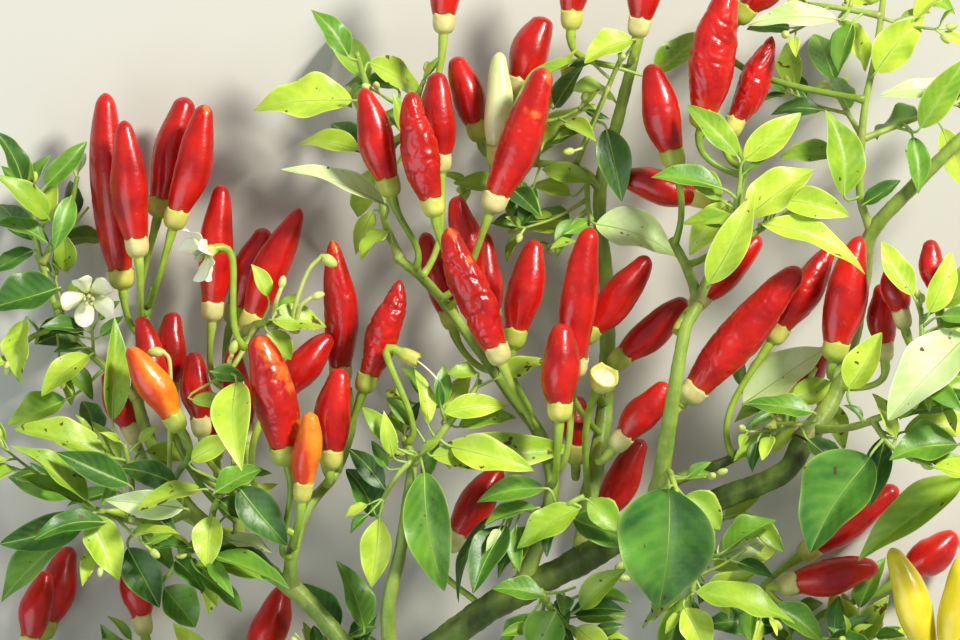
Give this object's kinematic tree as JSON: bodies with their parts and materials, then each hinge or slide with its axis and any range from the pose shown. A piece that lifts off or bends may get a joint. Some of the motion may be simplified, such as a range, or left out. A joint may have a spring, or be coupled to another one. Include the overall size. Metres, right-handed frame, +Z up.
{
  "type": "chilli pepper branch",
  "caption": "Cut fruiting branch of a chilli pepper plant, lying down: forking green shoots that carry upright slender red pods, small white flowers and sprays of leaves.",
  "frame": {"origin": "on the surface that the branch lies on, under the middle of its bounding box", "axes": "+Z up from that surface, +Y along the shoots from the cut end towards the tips, +X to the right as one looks down on the branch with its cut end nearest"},
  "size_m": [0.2574, 0.207, 0.0735],
  "materials": {
    "bark": "smooth grey-green bark with fine ridges",
    "green_stem": "smooth green skin, slightly ribbed",
    "leaf": "thin satin leaf blades, veined, bright to dark green",
    "ripe_pod": "glossy red skin, here and there wrinkled",
    "turning_pod": "glossy orange skin",
    "unripe_pod": "glossy pale yellow skin"
  },
  "bodies": {
    "root": {"main_stem": "bark", "near_shoot": "green_stem", "left_limb": "green_stem", "left_inner_shoot": "green_stem", "left_upper_shoot": "green_stem", "middle_shoot": "green_stem", "tall_shoot": "green_stem", "right_shoot": "green_stem", "right_upper_shoot": "green_stem", "right_inner_shoot": "green_stem", "right_limb": "green_stem", "left_leaves": "leaf", "left_centre_leaves": "leaf", "flower_leaves": "leaf", "left_edge_leaves": "leaf", "centre_leaves": "leaf", "fan_leaves": "leaf", "stem_foot_leaves": "leaf", "lower_left_leaves": "leaf", "front_leaves": "leaf", "lower_right_leaves": "leaf", "right_leaves": "leaf", "right_front_leaves": "leaf", "right_top_leaves": "leaf", "upper_front_leaves": "leaf", "top_leaves": "leaf", "top_left_leaves": "leaf", "left_top_pod_1": "ripe_pod", "left_top_pod_2": "ripe_pod", "left_top_pod_3": "ripe_pod", "left_top_pod_4": "ripe_pod", "left_middle_pod_1": "ripe_pod", "left_middle_pod_2": "ripe_pod", "left_middle_pod_3": "ripe_pod", "left_low_pod_1": "ripe_pod", "left_low_pod_2": "ripe_pod", "left_near_pod_1": "ripe_pod", "left_near_pod_3": "ripe_pod", "left_inner_pod_1": "ripe_pod", "left_inner_pod_2": "ripe_pod", "left_inner_pod_3": "ripe_pod", "centre_pod_1": "ripe_pod", "centre_pod_2": "ripe_pod", "centre_right_pod_1": "ripe_pod", "centre_right_pod_2": "ripe_pod", "tall_pod_1": "ripe_pod", "tall_pod_2": "ripe_pod", "top_bowed_pod_1": "ripe_pod", "top_bowed_pod_2": "ripe_pod", "top_centre_pod_1": "ripe_pod", "top_centre_pod_2": "ripe_pod", "right_top_pod_1": "ripe_pod", "right_high_pod_1": "ripe_pod", "right_high_pod_2": "ripe_pod", "right_inner_pod_1": "ripe_pod", "right_long_pod_1": "ripe_pod", "right_limb_pod_1": "ripe_pod", "orange_pod_1": "turning_pod", "left_near_pod_2": "turning_pod", "yellow_pod_1": "unripe_pod"}
  },
  "joints": []
}
